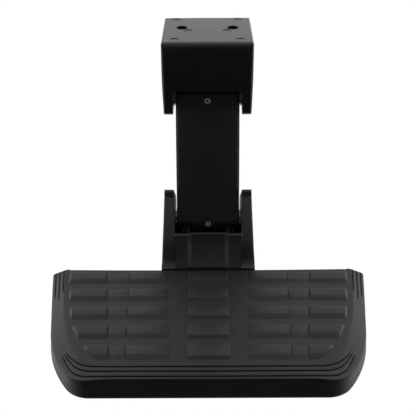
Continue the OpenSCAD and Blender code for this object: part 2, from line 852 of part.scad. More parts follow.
// Step pad: right-hand edge from the rear to the middle of the front, as [x, y] points.
// The side leans in by lean, then turns with radius r1 up to the angle turn, then with r2.
function edge_path(half, lean, cut, r1, turn, r2, front) =
    let (
        y2 = front + r2 * (1 - sin(turn)),
        y1 = y2 + r1 * (sin(turn) - sin(lean)),
        x1 = half - (pad_back - y1) * tan(lean),
        x2 = x1 - r1 * (cos(lean) - cos(turn))
    )
    concat(
        [[half - cut, pad_back], [half - cut * sin(lean), pad_back - cut]],
        [for (i = [0:8]) let (a = lean + (turn - lean) * i / 8)
            [x1 + r1 * (cos(a) - cos(lean)), y1 - r1 * (sin(a) - sin(lean))]],
        [for (i = [1:10]) let (a = turn + (90 - turn) * i / 10)
            [x2 + r2 * (cos(a) - cos(turn)), y2 - r2 * (sin(a) - sin(turn))]]
    );

// Edges of the top face and of the lower rim, the crease along the lip and the end of the tread
rear_cut = 2.5;
low_rear_cut = 4;
low_corner_r = pad_corner_r + 2;
crease_sweep_r = 313;
crease_corner_r = 61;
low_turn = 38;
crease_turn = 22;
top_edge = edge_path(pad_side_w / 2, side_slope, rear_cut, pad_sweep_r, low_turn, pad_corner_r,
    pad_front);
low_edge = edge_path(pad_bottom_w / 2, side_slope, low_rear_cut, pad_sweep_r, low_turn,
    low_corner_r, pad_front);
crease = edge_path(pad_top_w / 2, side_slope, rear_cut, crease_sweep_r, crease_turn,
    crease_corner_r, pad_front + crease_back);
tread_edge = edge_path(pad_top_w / 2 - block_margin, side_slope, rear_cut,
    crease_sweep_r - block_margin, crease_turn, crease_corner_r - block_margin,
    pad_front + crease_back + block_margin);

// A closed plan outline from a right-hand edge and its mirror image
module plan(edge) {
    n = len(edge);
    polygon(concat(edge, [for (i = [n - 1:-1:0]) [-edge[i][0], edge[i][1]]]));
}

// Edge of the flat top: the crease along the sides, running out to the front edge at the front
function lip_edge(inner, outer) =
    let (n = len(inner) - 1, from = n / 2)
    [for (i = [0:n]) let (w = i < from ? 0 : sin(90 * (i - from) / (n - from)))
        (1 - w) * inner[i] + w * outer[i]];

// The outer form of the pad: a flat top, bands that slope down to the sides, and the wall
module pad_form(low_z, edge0, edge1, edge2) {
    hull() {
        translate([0, 0, deck_z])
            linear_extrude(0.01)
                plan(lip_edge(edge0, edge1));
        translate([0, 0, deck_z - side_drop])
            linear_extrude(0.01)
                plan(edge1);
        translate([0, 0, low_z])
            linear_extrude(0.01)
                plan(edge2);
    }
}

// One tread block: a flat top with a ramp in front, from x0 to x1
module tread_block(x0, x1, y, h, flat, ramp) {
    translate([x0, 0, 0])
        rotate([90, 0, 90])
            linear_extrude(x1 - x0)
                polygon([
                    [y, deck_z - over], [y, deck_z + h - 0.5], [y - 0.5, deck_z + h],
                    [y - flat, deck_z + h], [y - flat - ramp, deck_z],
                    [y - flat - ramp, deck_z - over]
                ]);
}

// One row: the middle block and, on each side, an inner, a low and an outer block
module tread_row(i) {
    y = pad_back - first_row - i * row_pitch;
    grow = i == 0 ? 0 : 2.5;
    tread_block(-mid_block_half, mid_block_half, y + grow, block_h, block_l + 2 * grow, 4);
    both_sides() {
        x1 = inner_start - 1.9 * i;
        x2 = x1 + inner_w;
        x3 = x2 + low_w - 2.2 * i;
        tread_block(x1, x2, y, block_h, block_l, ramp_l);
        tread_block(x2 - 0.5, x3 + 1, y - 0.6, block_h - low_step, block_l - 0.6, ramp_l);
        tread_block(x3 + 0.6, pad_top_w / 2, y, block_h, block_l, ramp_l);
    }
}

// A groove at g from 0, the crease, to 1, the front edge; it fades out towards the sides
module lip_groove(g, reach_back) {
    path = (1 - g) * crease + g * top_edge;
    shift = groove_w / (crease_back - 2);
    inner = (1 - g + shift) * crease + (g - shift) * top_edge;
    intersection() {
        translate([0, 0, deck_z - groove_depth])
            linear_extrude(groove_depth + over)
                difference() {
                    plan(path);
                    plan(inner);
                }
        translate([-pad_top_w, pad_front - over, deck_z - groove_depth - over])
            cube([2 * pad_top_w, reach_back, groove_depth + 3 * over]);
    }
}

// Ribs under the deck
module pad_ribs() {
    for (x = [-120, -72, 72, 120])
        translate([x - 2, pad_front, floor_z + 0.4])
            cube([4, pad_l, deck_z - floor_z - 1]);
    for (f = [0.3, 0.55, 0.8])
        translate([-pad_bottom_w / 2, pad_back - f * pad_l - 2, floor_z + 0.4])
            cube([pad_bottom_w, 4, deck_z - floor_z - 1]);
}

module at_pad_bolts(z) {
    for (side = [-1, 1])
        for (y = bolt_rows)
            translate([side * pad_bolt_x / 2, y, z])
                children();
}

// The hollow under the deck is the outer form moved in by the wall
inner_crease = edge_path(pad_top_w / 2 - pad_wall, side_slope, rear_cut,
    crease_sweep_r - pad_wall, crease_turn, crease_corner_r - pad_wall,
    pad_front + crease_back + pad_wall);
inner_top = edge_path(pad_side_w / 2 - pad_wall, side_slope, rear_cut, pad_sweep_r - pad_wall,
    low_turn, pad_corner_r - pad_wall, pad_front + pad_wall);
inner_low = edge_path(pad_bottom_w / 2 - pad_wall, side_slope, low_rear_cut,
    pad_sweep_r - pad_wall, low_turn, low_corner_r - pad_wall, pad_front + pad_wall);

module pad_hollow() {
    intersection() {
        translate([0, 0, -deck_t])
            pad_form(pad_bottom_z - over, inner_crease, inner_top, inner_low);
        translate([-pad_bottom_w, pad_front, pad_bottom_z - 2 * over])
            cube([2 * pad_bottom_w, pad_l - pad_wall, pad_h + over]);
    }
}

module step_pad() color(cast_grey) difference() {
    union() {
        difference() {
            pad_form(pad_bottom_z, crease, top_edge, low_edge);
            difference() {
                pad_hollow();
                pad_ribs();
                at_pad_bolts(floor_z + seat_gap)
                    cylinder(d = boss_d, h = deck_z - floor_z, $fn = round_fn);
            }
        }
        intersection() {
            for (i = [0:rows - 1])
                tread_row(i);
            translate([0, 0, deck_z - over])
                linear_extrude(block_h + 2 * over)
                    plan(tread_edge);
        }
    }
    lip_groove(0, 60);
    lip_groove(0.45, 36);
    lip_groove(0.88, 33);
    at_pad_bolts(floor_z - over)
        cylinder(d = insert_d + 2 * seat_gap, h = insert_l + over, $fn = round_fn);
    translate([-tongue_w / 2 - 1, pad_back - pad_wall - 3, pad_bottom_z - over])
        cube([tongue_w + 2, pad_wall + 5, floor_z + 0.4 - pad_bottom_z + over]);
}

module pad_inserts() color("goldenrod")
    at_pad_bolts(floor_z + seat_gap)
        difference() {
            cylinder(d = insert_d, h = insert_l - 2 * seat_gap, $fn = round_fn);
            translate([0, 0, -over])
                cylinder(d = pad_bolt_d + 2 * seat_gap, h = insert_l + 2 * over, $fn = round_fn);
        }

module pad_washers() color("silver")
    at_pad_bolts(tongue_z - pad_washer_t)
        difference() {
            cylinder(d = 2 * pad_bolt_d, h = pad_washer_t - seat_gap, $fn = round_fn);
            translate([0, 0, -over])
                cylinder(d = pad_bolt_d + 0.4, h = pad_washer_t + 2 * over, $fn = round_fn);
        }

module pad_bolts() color(steel_grey)
    at_pad_bolts(tongue_z - pad_washer_t) {
        translate([0, 0, -bolt_head_h])
            cylinder(d = 1.62 * pad_bolt_d / cos(30), h = bolt_head_h - seat_gap, $fn = 6);
        translate([0, 0, -1])
            cylinder(d = pad_bolt_d, h = pad_washer_t + tongue_t + insert_l, $fn = round_fn);
    }

mount_housing();
upper_front_bushes();
upper_rear_pin();
upper_rear_spacers();
upper_rear_rings();
torsion_spring();
main_arm();
upper_front_pin();
lower_front_pin();
upper_set_screw();
lower_set_screw();
upper_front_washers();
lower_front_washers();
stop_bumper();
stop_screw();
idler_arm();
idler_upper_bushes();
idler_lower_bushes();
step_bracket();
lower_front_bushes();
lower_rear_pin();
lower_rear_rings();
step_pad();
pad_inserts();
pad_bolts();
pad_washers();
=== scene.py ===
"""Retractable bed step, swung out: black castings and a treaded pad on a plain white ground."""

import math

import bmesh
import bpy
from mathutils import Matrix, Vector


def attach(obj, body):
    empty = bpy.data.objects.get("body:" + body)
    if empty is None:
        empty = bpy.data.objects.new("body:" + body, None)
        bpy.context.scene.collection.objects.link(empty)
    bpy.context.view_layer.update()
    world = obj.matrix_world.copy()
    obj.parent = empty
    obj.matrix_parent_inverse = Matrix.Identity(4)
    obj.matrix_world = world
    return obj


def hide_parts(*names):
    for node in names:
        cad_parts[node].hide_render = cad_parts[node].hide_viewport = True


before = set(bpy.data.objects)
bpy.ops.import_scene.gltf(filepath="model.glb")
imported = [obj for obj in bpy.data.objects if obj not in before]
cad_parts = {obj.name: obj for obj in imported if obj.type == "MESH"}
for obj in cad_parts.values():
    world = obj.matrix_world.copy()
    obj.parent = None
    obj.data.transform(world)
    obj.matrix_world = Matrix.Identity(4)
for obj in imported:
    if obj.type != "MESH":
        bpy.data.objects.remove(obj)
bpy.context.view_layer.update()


# Mount housing
# The cast block that bolts up under the vehicle, open below, with an ear on each side for the
# main pin. Its edges are softly rounded, and like every casting of the step it is powder coated
# satin black, with a fine orange peel and slight cloudiness.

MM = 0.001


def math_node(tree, operation, *values):
    """The result of one sum on a surface, from numbers and from the results of other nodes."""
    node = tree.nodes.new("ShaderNodeMath")
    node.operation = operation
    for socket, value in zip(node.inputs, values):
        if isinstance(value, bpy.types.NodeSocket):
            tree.links.new(value, socket)
        else:
            socket.default_value = value
    return node.outputs[0]


def make_coat_grain():
    """Group: a fine bump, a cloudy shade of the colour, and a roughness that varies with it."""
    peel_height = 0.2 * MM
    cloud_scale = 34.0
    group = bpy.data.node_groups.new("coat_grain", "ShaderNodeTree")
    face = group.interface
    for name, kind, value in (
        ("Peel Scale", "NodeSocketFloat", 900.0),
        ("Peel Depth", "NodeSocketFloat", 0.1),
        ("Roughness", "NodeSocketFloat", 0.4),
        ("Spread", "NodeSocketFloat", 0.06),
        ("Colour", "NodeSocketColor", (0.02, 0.02, 0.02, 1)),
        ("Cloud", "NodeSocketFloat", 0.15),
    ):
        socket = face.new_socket(name=name, in_out="INPUT", socket_type=kind)
        socket.default_value = value
    face.new_socket(name="Colour", in_out="OUTPUT", socket_type="NodeSocketColor")
    face.new_socket(name="Roughness", in_out="OUTPUT", socket_type="NodeSocketFloat")
    face.new_socket(name="Normal", in_out="OUTPUT", socket_type="NodeSocketVector")
    nodes, links = group.nodes, group.links
    inp = nodes.new("NodeGroupInput")
    out = nodes.new("NodeGroupOutput")
    place = nodes.new("ShaderNodeTexCoord")
    peel = nodes.new("ShaderNodeTexNoise")
    peel.inputs["Detail"].default_value = 2.0
    links.new(place.outputs["Object"], peel.inputs["Vector"])
    links.new(inp.outputs["Peel Scale"], peel.inputs["Scale"])
    bump = nodes.new("ShaderNodeBump")
    bump.inputs["Distance"].default_value = peel_height
    links.new(inp.outputs["Peel Depth"], bump.inputs["Strength"])
    links.new(peel.outputs["Fac"], bump.inputs["Height"])
    links.new(bump.outputs["Normal"], out.inputs["Normal"])
    cloud = nodes.new("ShaderNodeTexNoise")
    cloud.inputs["Scale"].default_value = cloud_scale
    cloud.inputs["Detail"].default_value = 5.0
    links.new(place.outputs["Object"], cloud.inputs["Vector"])
    centred = math_node(group, "SUBTRACT", cloud.outputs["Fac"], 0.5)
    rough = math_node(group, "MULTIPLY_ADD", centred, inp.outputs["Spread"], inp.outputs["Roughness"])
    links.new(rough, out.inputs["Roughness"])
    shade = math_node(group, "MULTIPLY_ADD", centred, inp.outputs["Cloud"], 1.0)
    tint = nodes.new("ShaderNodeVectorMath")
    tint.operation = "SCALE"
    links.new(inp.outputs["Colour"], tint.inputs[0])
    links.new(shade, tint.inputs["Scale"])
    links.new(tint.outputs[0], out.inputs["Colour"])
    return group


coat_grain = make_coat_grain()


def coated(name, colour, roughness, specular=0.5, peel=0.1, scale=900.0, metallic=0.0, cloud=0.15):
    """A painted or plated finish with the coat's grain."""
    mat = bpy.data.materials.new(name)
    mat.use_nodes = True
    nodes, links = mat.node_tree.nodes, mat.node_tree.links
    shader = nodes["Principled BSDF"]
    shader.inputs["Metallic"].default_value = metallic
    shader.inputs["Specular IOR Level"].default_value = specular
    grain = nodes.new("ShaderNodeGroup")
    grain.node_tree = coat_grain
    grain.inputs["Peel Scale"].default_value = scale
    grain.inputs["Peel Depth"].default_value = peel
    grain.inputs["Roughness"].default_value = roughness
    grain.inputs["Colour"].default_value = (*colour, 1)
    grain.inputs["Cloud"].default_value = cloud
    links.new(grain.outputs["Colour"], shader.inputs["Base Color"])
    links.new(grain.outputs["Roughness"], shader.inputs["Roughness"])
    links.new(grain.outputs["Normal"], shader.inputs["Normal"])
    return mat


SAME_PLACE = 2e-6
SAME_PLANE = 0.6


def finished_casting(node, body, mat, radius, angle=32, shape=None):
    """A copy of a casting's solid with its sharp edges rounded, in place of the solid.

    radius is that of the edges, and angle in degrees is the least turn that counts as an edge.
    shape, if given, works on the copy before its edges are rounded.
    """
    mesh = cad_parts[node].data.copy()
    bm = bmesh.new()
    bm.from_mesh(mesh)
    bmesh.ops.remove_doubles(bm, verts=bm.verts, dist=SAME_PLACE)
    bmesh.ops.dissolve_limit(
        bm, angle_limit=math.radians(SAME_PLANE), verts=bm.verts, edges=bm.edges, delimit={"NORMAL"}
    )
    if shape:
        shape(bm)
    bm.to_mesh(mesh)
    bm.free()
    mesh.materials.clear()
    mesh.materials.append(mat)
    piece = bpy.data.objects.new(node + "_finished", mesh)
    bpy.context.scene.collection.objects.link(piece)
    for poly in mesh.polygons:
        poly.use_smooth = True
    bevel = piece.modifiers.new("edges", "BEVEL")
    bevel.width = radius
    bevel.segments = 3
    bevel.limit_method = "ANGLE"
    bevel.angle_limit = math.radians(angle)
    bevel.use_clamp_overlap = False
    bevel.miter_outer = "MITER_ARC"
    level = piece.modifiers.new("flat_faces", "WEIGHTED_NORMAL")
    level.mode = "FACE_AREA"
    level.weight = 60
    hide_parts(node)
    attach(piece, body)


housing_coat = coated("housing_coat", (0.0160, 0.0157, 0.0160), 0.31, specular=0.55, peel=0.10)
finished_casting("mount_housing", "mount", housing_coat, 0.45 * MM)


# Main arm
# A cast channel with a gently bowed front, a barrel at each end and soft long edges. It swings
# between the ears of the housing and the bracket.

ARM_HALF = 30 * MM
ARM_CROWN = 1.3 * MM
arm_coat = coated("arm_coat", (0.0150, 0.0150, 0.0153), 0.34, specular=0.45, peel=0.05)


def cut_faces(bm, faces, place, way):
    """Cut some faces of a casting along the plane through place, square to way."""
    edges = {e for f in faces for e in f.edges}
    verts = {v for f in faces for v in f.verts}
    bmesh.ops.bisect_plane(bm, geom=faces + list(edges) + list(verts), plane_co=place, plane_no=way,
                           dist=1e-6)


def crown_arm(bm):
    """Let the front of the arm fall off a little from its middle to its long edges."""
    def front():
        return [f for f in bm.faces if f.normal.y < -0.55]

    for x in (5, 10, 15, 20, 24, 28):
        cut_faces(bm, front(), (x * MM, 0, 0), (1, 0, 0))
        cut_faces(bm, front(), (-x * MM, 0, 0), (1, 0, 0))
    for v in {v for f in front() for v in f.verts}:
        v.co.y += ARM_CROWN * (abs(v.co.x) / ARM_HALF) ** 2


finished_casting("main_arm", "main_arm", arm_coat, 0.5 * MM, angle=40, shape=crown_arm)


# Idler arm
# The second arm of the parallelogram, behind the main arm: an H beam with a forked upper end,
# cast in one piece and coated like the rest.

idler_coat = coated("idler_coat", (0.019, 0.019, 0.0194), 0.42, specular=0.5)
finished_casting("idler_arm", "idler_arm", idler_coat, 0.6 * MM)


# Step bracket
# The cast bracket between the arms and the pad: two flaring ears, a leaning web with a shallow
# recess, and the floor that runs forward under the pad as a tongue.

# The web's dish lies between these heights. Its front is a plane from the crest down to the
# foot, set back in the middle by the recess, whose slopes lie between the two widths.
WEB_TOP, WEB_FOOT = -0.2203, -0.2593
WEB_CREST_Z, WEB_HEIGHT = -0.2186, 0.0409
WEB_CREST_Y, CREST_RECESS = -0.11449, 2.6 * MM
WEB_FOOT_Y, FOOT_RECESS = -0.12873, 1.3 * MM
WEB_SPREAD = (0.021, 0.026)
WEB_DISH, WEB_MIDDLE_DISH = 2.2, 0.9
DISH_EDGES = (0.019, 0.0285)

# The front of each ear is two flat slopes that meet at the knee: y and z of a point on each,
# and how far it comes forward for its drop.
EAR_KNEE = -0.21887
EAR_UPPER = (-0.09661, -0.16939, 0.2955)
EAR_LOWER = (-0.11123, EAR_KNEE, 0.4316)
EAR_INNER, EAR_WIDTH = 0.0415, 0.0075

# The fall of the ears begins at their tips and eases off again over their feet, where they are
# dished; both as distances below the mount face.
EAR_FALL, EAR_TIP_FALL, EAR_FOOT_FALL = 2.8 * MM, (0.1690, 0.1765), (0.246, 0.2595)
EAR_FOOT_DISH, EAR_DISH_TOP, EAR_DISH_HEIGHT = 1.5 * MM, 0.228, 0.0315
EAR_RIM_R, EAR_RIM_FROM, EAR_RIM_Z = 2.4 * MM, 0.0455, (-0.2575, -0.1765)

# What counts as the front of the web and of the ears
WEB_HALF, WEB_REAR_Y = 0.0420, -0.108
EAR_FRONT_Z = (-0.2598, -0.1692)
FLOOR_TOP_Z = -0.2600


def clamp(x, top=1.0):
    """x held between 0 and top."""
    return min(max(x, 0.0), top)


def ease(a, b, x):
    """Smooth step from 0 at a to 1 at b."""
    t = clamp((x - a) / (b - a))
    return t * t * (3 - 2 * t)


def hollow(s):
    """A shallow dish, 0 at both ends of its span and 1 halfway."""
    return 4 * s * (1 - s)


def web_front(x, z):
    """The front face of the web in y, and how deep it is dished at that place."""
    recess = 1 - clamp((abs(x) - WEB_SPREAD[0]) / (WEB_SPREAD[1] - WEB_SPREAD[0]))
    crest = WEB_CREST_Y + CREST_RECESS * recess
    foot = WEB_FOOT_Y + FOOT_RECESS * recess
    down = (WEB_CREST_Z - z) / WEB_HEIGHT
    s = clamp((WEB_TOP - z) / (WEB_TOP - WEB_FOOT))
    middle = 1 - clamp((abs(x) - DISH_EDGES[0]) / (DISH_EDGES[1] - DISH_EDGES[0]))
    return crest + (foot - crest) * down, (WEB_DISH + WEB_MIDDLE_DISH * middle) * MM * hollow(s)


def ear_front(x, z):
    """The front face of an ear in y, and how far it falls back towards its outer edge."""
    y, from_z, run = EAR_UPPER if z > EAR_KNEE else EAR_LOWER
    y += (z - from_z) * run
    fall = ease(*EAR_TIP_FALL, -z) * (1 - 0.55 * ease(*EAR_FOOT_FALL, -z))
    s = clamp((-EAR_DISH_TOP - z) / EAR_DISH_HEIGHT)
    outward = clamp((abs(x) - EAR_INNER) / EAR_WIDTH, top=1.4)
    return y, EAR_FALL * fall * outward + EAR_FOOT_DISH * hollow(s)


def front_faces(bm, on_ears):
    """The front faces of the ears, or else those of the web."""
    found = []
    for f in bm.faces:
        middle = f.calc_center_median()
        forward = f.normal.y < -0.6 and middle.z > FLOOR_TOP_Z
        if forward and (abs(middle.x) > EAR_INNER) == on_ears:
            if on_ears or middle.y < WEB_REAR_Y:
                found.append(f)
    return found


def bend_fronts(bm):
    """Dish the front face of the web and let the front faces of the ears fall off outwards."""
    on_face = 0.6 * MM
    for v in bm.verts:
        y, back = v.co.y, 0.0
        if abs(v.co.x) < WEB_HALF and WEB_FOOT < v.co.z < WEB_TOP:
            y, back = web_front(v.co.x, v.co.z)
        elif abs(v.co.x) > EAR_INNER and EAR_FRONT_Z[0] < v.co.z < EAR_FRONT_Z[1]:
            y, back = ear_front(v.co.x, v.co.z)
        if abs(v.co.y - y) < on_face:
            v.co.y += back


def outer_rims(bm):
    """The edges between the front and the outer side of each ear."""
    rims = []
    for e in bm.edges:
        middle = (e.verts[0].co + e.verts[1].co) / 2
        if len(e.link_faces) != 2 or abs(middle.x) < EAR_RIM_FROM:
            continue
        if not EAR_RIM_Z[0] < middle.z < EAR_RIM_Z[1]:
            continue
        across, outer = sorted((f.normal for f in e.link_faces), key=lambda n: abs(n.x))
        if outer.x * middle.x > 0 and abs(outer.x) > 0.9 and abs(across.x) < 0.6 and across.y < -0.5:
            rims.append(e)
    return rims


def shape_bracket(bm):
    """Cut the fronts of the web and ears finely enough to bend them, and round the ears' rims."""
    web_steps = 12
    for i in range(web_steps + 1):
        z = WEB_FOOT + (WEB_TOP - WEB_FOOT) * i / web_steps
        cut_faces(bm, front_faces(bm, on_ears=False), (0, 0, z), (0, 0, 1))
    for x in DISH_EDGES:
        cut_faces(bm, front_faces(bm, on_ears=False), (-x, 0, 0), (1, 0, 0))
        cut_faces(bm, front_faces(bm, on_ears=False), (x, 0, 0), (1, 0, 0))
    for down in (171, 173, 175, 176.5, 204, *range(228, 260, 4)):
        cut_faces(bm, front_faces(bm, on_ears=True), (0, 0, -down * MM), (0, 0, 1))
    bend_fronts(bm)
    bmesh.ops.bevel(bm, geom=outer_rims(bm), offset=EAR_RIM_R, offset_type="OFFSET", segments=4,
                    profile=0.5, affect="EDGES", clamp_overlap=False, material=-1)


bracket_coat = coated("bracket_coat", (0.019, 0.019, 0.0193), 0.47, specular=0.58, peel=0.12)
finished_casting("step_bracket", "step", bracket_coat, 0.9 * MM, shape=shape_bracket)


# Step pad
# One moulded piece: a tread of low blocks, a lip with three grooves along the front, bands that
# slope down to the sides, and a hollow underside with ribs and four bosses for the bolts.

PAD_BACK, PAD_FRONT = -0.12953, -0.30353
DECK_Z, PAD_BOTTOM_Z, FLOOR_Z = -0.2620, -0.2920, -0.2725
PAD_WALL = 5 * MM
PAD_LEAN = math.radians(9.6)
SIDE_DROP = 6.5 * MM
LIP_EDGE_R, RIM_R, REAR_EDGE_R = 1.3 * MM, 1.5 * MM, 0.9 * MM


def pad_edge(half, cut, side_r, turn, corner_r, front):
    """Right-hand edge of the pad in plan, in mm, from the rear corner to the middle of the front.

    half is its half width at the rear, where the corner is cut off by cut. The side runs forward
    at a lean, then round side_r up to the angle turn, and then round corner_r to the front.
    """
    turn = math.radians(turn)
    back = PAD_BACK / MM
    y2 = front + corner_r * (1 - math.sin(turn))
    y1 = y2 + side_r * (math.sin(turn) - math.sin(PAD_LEAN))
    x1 = half - (back - y1) * math.tan(PAD_LEAN)
    x2 = x1 - side_r * (math.cos(PAD_LEAN) - math.cos(turn))
    points = [(half - cut, back), (half - cut * 0.45, back - cut * 0.40)]
    points.append((half - cut * math.sin(PAD_LEAN), back - cut))
    steps = 40
    for i in range(steps + 1):
        a = PAD_LEAN + (turn - PAD_LEAN) * i / steps
        points.append((x1 + side_r * (math.cos(a) - math.cos(PAD_LEAN)),
                       y1 - side_r * (math.sin(a) - math.sin(PAD_LEAN))))
    for i in range(1, steps + 1):
        a = turn + (math.pi / 2 - turn) * i / steps
        points.append((x2 + corner_r * (math.cos(a) - math.cos(turn)),
                       y2 - corner_r * (math.sin(a) - math.sin(turn))))
    points.append((0.0, points[-1][1]))
    return [Vector((x * MM, y * MM)) for x, y in points]


front_mm = PAD_FRONT / MM
lip_crease = pad_edge(half=178.5, cut=2.5, side_r=313, turn=22, corner_r=61, front=front_mm + 15.4)
lip_front = pad_edge(half=193.2, cut=2.5, side_r=140, turn=38, corner_r=32, front=front_mm)
low_rim = pad_edge(half=196, cut=4, side_r=140, turn=38, corner_r=34, front=front_mm)


def reach_to(edge, start, way):
    """Distance from start along way to an edge of the pad."""
    best = 0.0
    for p, q in zip(edge, edge[1:]):
        seg = q - p
        det = seg.x * way.y - seg.y * way.x
        if abs(det) < 1e-12:
            continue
        to = p - start
        reach = (seg.x * to.y - seg.y * to.x) / det
        share = (way.x * to.y - way.y * to.x) / det
        if -1e-4 <= share <= 1 + 1e-4:
            best = max(best, reach)
    return best


# The grooves of the lip: how far each lies from the edge in mm, in the middle, at the bend, in
# the corner and at the rear; the two distances forward of the origin between which its long
# front stretch fades in; and the one at which its short rear stretch ends.
LIP_GROOVES = (
    (17.2, 18.8, 12.0, 14.3, 0.263, 0.270, 0.171),
    (10.9, 12.6, 9.8, 9.2, 0.264, 0.271, 0.182),
    (4.0, 5.6, 7.2, 4.1, 0.266, 0.273, 0.174),
)
FRONT_GROOVE_DEPTH, REAR_GROOVE_DEPTH = 2.0 * MM, 1.6 * MM
GROOVE_HALF = 0.95 * MM

# Rings of the skin from the tread to the lip's edge, and from the lower rim inwards
LIP_RINGS, RIM_RINGS = 21, 9
INNER_EDGE = 0.8 * MM


def pad_profile(start, way):
    """The outer skin of the pad along one ray, from the deck over the lip to the lower rim."""
    crease = reach_to(lip_crease, start, way)
    front = max(reach_to(lip_front, start, way), crease + 1.2 * MM)
    rim = max(reach_to(low_rim, start, way), front)
    band = front - crease
    side = ease(0.05, 0.85, way.x)
    drop = SIDE_DROP * side
    points = []

    def put(reach, z):
        """Add a point of the skin at a distance along the ray."""
        at = start + way * reach
        points.append(Vector((at.x, at.y, z)))

    def lip(share, sink=0.0):
        """Add a point at a share of the lip's width, sunk below the slope of its surface."""
        put(crease + band * share, DECK_Z - drop * max(share, 0.0) - sink)

    lip(-0.32)
    for groove, (away, bend, corner, rear, fade_start, fade_end, end) in enumerate(LIP_GROOVES):
        away += (bend - away) * ease(0.05, 0.45, way.x) + (corner - bend) * ease(0.45, 0.88, way.x)
        away += (rear - away) * (1 - ease(0.185, 0.225, -start.y))
        centre = 1 - away * MM / band
        y = -(start + way * (crease + band * centre)).y
        depth = FRONT_GROOVE_DEPTH * ease(fade_start, fade_end, y)
        depth += REAR_GROOVE_DEPTH * (1 - ease(end - 0.005, end, y))
        wide = (GROOVE_HALF - 0.25 * MM * side) / max(band, 9 * MM)
        if groove == 0:
            lip(min(-0.02, centre - wide - 0.060))
            lip(min(0.03, centre - wide - 0.045))
        for step, share in ((-wide - 0.035, 0), (-wide, 0.12), (-wide * 0.45, 1),
                            (wide * 0.45, 1), (wide, 0.12), (wide + 0.035, 0)):
            lip(centre + step, share * depth)
    edge_r = min(LIP_EDGE_R, 0.085 * band)
    lip(1 - edge_r / band)
    for a in (22.5, 45, 67.5, 90):
        a = math.radians(a)
        share = 1 - edge_r * (1 - math.sin(a)) / band
        put(crease + band * share,
            DECK_Z - drop * share - edge_r * (1 - math.cos(a)) * (1 - 0.6 * side))
    top = points[-1].z
    for level in (0.12, 0.35, 0.60, 0.85):
        put(front + (rim - front) * level, top - (top - PAD_BOTTOM_Z) * level)
    for a in (0, 30, 60, 90):
        a = math.radians(a)
        put(rim - RIM_R * (1 - math.cos(a)), PAD_BOTTOM_Z + RIM_R * (1 - math.sin(a)))
    outer = len(points)
    put(rim - PAD_WALL + INNER_EDGE, PAD_BOTTOM_Z)
    put(rim - PAD_WALL, PAD_BOTTOM_Z + INNER_EDGE)
    put(front + (rim - front) * 0.4 - PAD_WALL, top - 10 * MM)
    put(front - PAD_WALL, top - PAD_WALL)
    put(crease - 0.5 * PAD_WALL, DECK_Z - PAD_WALL)
    for p in points[outer:]:
        p.y = min(p.y, PAD_BACK - PAD_WALL)
    return points


TONGUE_HALF = 49.1 * MM


def rear_column(x, corner):
    """The skin of the rear edge at x: straight down, but open above the tongue of the bracket."""
    column = []
    rim_from = len(corner) - RIM_RINGS
    for i, p in enumerate(corner):
        y, z = PAD_BACK, p.z
        if i < LIP_RINGS:
            y -= REAR_EDGE_R + 1.6 * MM * (LIP_RINGS - i) / LIP_RINGS
            z = DECK_Z
        elif i < LIP_RINGS + 5:
            a = math.pi / 2 * (i - LIP_RINGS) / 4
            y -= REAR_EDGE_R * (1 - math.sin(a))
            z = DECK_Z - REAR_EDGE_R * (1 - math.cos(a))
        elif i >= rim_from + 4:
            y -= PAD_WALL - (INNER_EDGE if i == rim_from + 4 else 0)
        elif i >= rim_from:
            y -= RIM_R * (1 - math.cos(math.radians(30 * (i - rim_from))))
        if x < TONGUE_HALF:
            z = max(z, FLOOR_Z + 0.4 * MM)
        column.append(Vector((x, y, z)))
    return column


def build_pad_skin(bm):
    """Loft the skin of the pad from its rear edge along the side and round to the front."""
    turn = Vector((0.100, -0.232))
    rays = []
    for d in (0, 0.8, 2, 4, 7, 10.5, *range(14, 36, 3), 40, 46, *range(52, 93, 8)):
        rays.append((Vector((turn.x, PAD_BACK - d * MM)), Vector((1, 0))))
    fan = 48
    for i in range(fan + 1):
        a = math.pi / 2 * i / fan
        rays.append((turn, Vector((math.cos(a), -math.sin(a)))))
    for x in (94, 86, 76, 64, 50, 34, 17, 0):
        rays.append((Vector((x * MM, turn.y)), Vector((0, -1))))
    side_columns = [pad_profile(start, way) for start, way in rays]
    half = [rear_column(x * MM, side_columns[0]) for x in
            (0, 12, 24, 36, 46, 48.8, 49.2, 56, 72, 90, 110, 130, 148, 160, 168)]
    half += side_columns
    grid = [[bm.verts.new(p) for p in column] for column in half]
    twin = []
    for column, row in zip(half, grid):
        twin.append([v if abs(p.x) < 1e-7 else bm.verts.new(Vector((-p.x, p.y, p.z)))
                     for p, v in zip(column, row)])
    for block in (grid, twin):
        for left, right in zip(block, block[1:]):
            for i in range(len(left) - 1):
                corners = dict.fromkeys((left[i], right[i], right[i + 1], left[i + 1]))
                if len(corners) > 2:
                    bm.faces.new(list(corners))
    for i in (0, -1):
        bm.faces.new([c[i] for c in grid] + [c[i] for c in twin[-2:0:-1]])
    bmesh.ops.remove_doubles(bm, verts=bm.verts, dist=5e-6)
    bmesh.ops.dissolve_degenerate(bm, dist=1e-6, edges=bm.edges)
    bmesh.ops.recalc_face_normals(bm, faces=bm.faces)


def add_block(bm, top, low, top_z, low_z, round_off):
    """A closed block between a top and a base outline, its top edges rounded."""
    upper = [bm.verts.new((x, y, top_z)) for x, y in top]
    lower = [bm.verts.new((x, y, low_z)) for x, y in low]
    made = [bm.faces.new(upper), bm.faces.new(lower[::-1])]
    n = len(upper)
    for i in range(n):
        j = (i + 1) % n
        made.append(bm.faces.new((upper[i], lower[i], lower[j], upper[j])))
    bmesh.ops.recalc_face_normals(bm, faces=made)
    edges = [bm.edges.get((upper[i], upper[(i + 1) % n])) for i in range(n)]
    uprights = [bm.edges.get((upper[i], lower[i])) for i in range(n)]
    bmesh.ops.bevel(bm, geom=edges + uprights, offset=round_off, offset_type="OFFSET", segments=2,
                    profile=0.5, affect="EDGES", clamp_overlap=True, material=-1)


